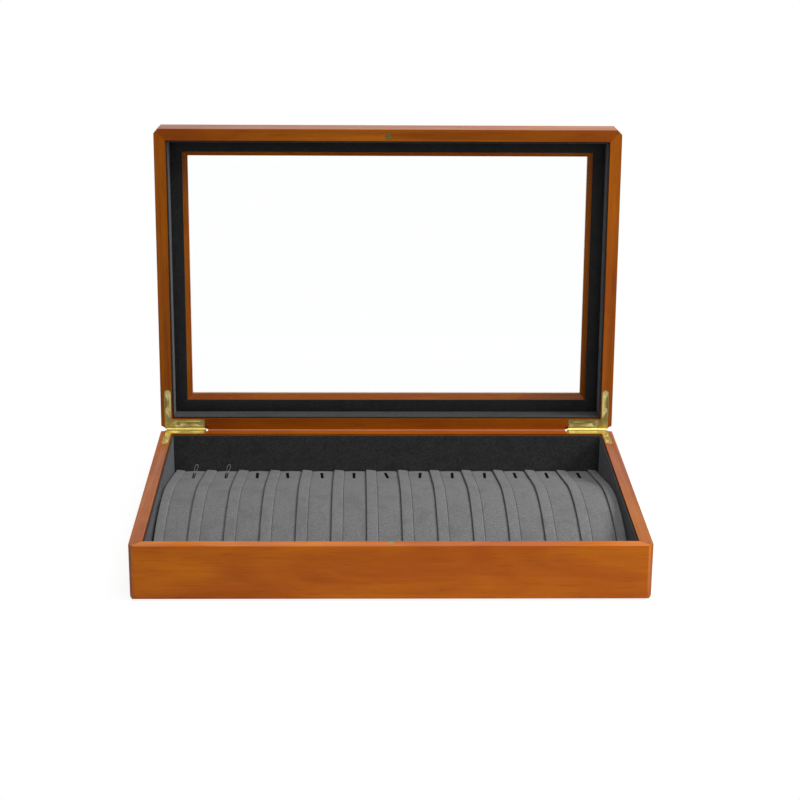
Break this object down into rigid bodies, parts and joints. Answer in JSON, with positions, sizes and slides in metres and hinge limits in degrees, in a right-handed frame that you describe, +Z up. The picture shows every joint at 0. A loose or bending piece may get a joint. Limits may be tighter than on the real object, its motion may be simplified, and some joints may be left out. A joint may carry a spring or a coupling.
{
  "type": "ring display box",
  "caption": "Shallow wooden display box with a crowned tray of soft grey channels and a hinged glazed lid standing open.",
  "frame": {"origin": "centre of the underside, on the surface that the box stands on", "axes": "+X to the right along the hinges, -Y towards the front, +Z up"},
  "size_m": [0.36, 0.2788, 0.2809],
  "materials": {
    "wood": "satin lacquer",
    "panel": "plain",
    "lining": "matte suede cloth on card",
    "suede": "matte suede cloth",
    "felt": "felt",
    "tray_core": "matte, dark stained",
    "brass": "polished",
    "catch": "dull plated",
    "glass": "clear",
    "clear_wire": "clear"
  },
  "bodies": {
    "base": {"base_front_wall": "wood", "base_liner_front": "lining", "base_back_wall": "wood", "base_liner_back": "lining", "base_left_wall": "wood", "base_liner_left": "lining", "base_right_wall": "wood", "base_liner_right": "lining", "base_floor_panel": "panel", "base_felt": "felt", "tray_board": "tray_core", "channel_pad_01": "suede", "channel_pad_02": "suede", "channel_pad_03": "suede", "channel_pad_04": "suede", "channel_pad_05": "suede", "channel_pad_06": "suede", "channel_pad_07": "suede", "channel_pad_08": "suede", "channel_pad_09": "suede", "channel_pad_10": "suede", "channel_pad_11": "suede", "channel_pad_12": "suede", "channel_pad_13": "suede", "divider_rib_01": "suede", "divider_rib_02": "suede", "divider_rib_03": "suede", "divider_rib_04": "suede", "divider_rib_05": "suede", "divider_rib_06": "suede", "divider_rib_07": "suede", "divider_rib_08": "suede", "divider_rib_09": "suede", "divider_rib_10": "suede", "divider_rib_11": "suede", "divider_rib_12": "suede", "divider_rib_13": "suede", "divider_rib_14": "suede", "base_hinge_leaf_left": "brass", "hinge_pin_left": "brass", "base_hinge_leaf_right": "brass", "hinge_pin_right": "brass", "base_hinge_screws": "brass", "base_magnet": "catch", "wire_loops": "clear_wire"},
    "lid": {"lid_front_rail": "wood", "lid_liner_front": "lining", "lid_back_rail": "wood", "lid_liner_back": "lining", "lid_left_rail": "wood", "lid_liner_left": "lining", "lid_right_rail": "wood", "lid_liner_right": "lining", "lid_hinge_leaf_left": "brass", "lid_hinge_leaf_right": "brass", "lid_hinge_screws": "brass", "lid_magnet": "catch", "glass_pane": "glass", "window_liner": "lining"}
  },
  "joints": [
    {"name": "lid_hinge", "type": "hinge", "parent": "base", "child": "lid", "pos_m": [0, 0.12, 0.0412], "axis": [1, 0, 0], "range_deg": [0, 92.8]}
  ]
}
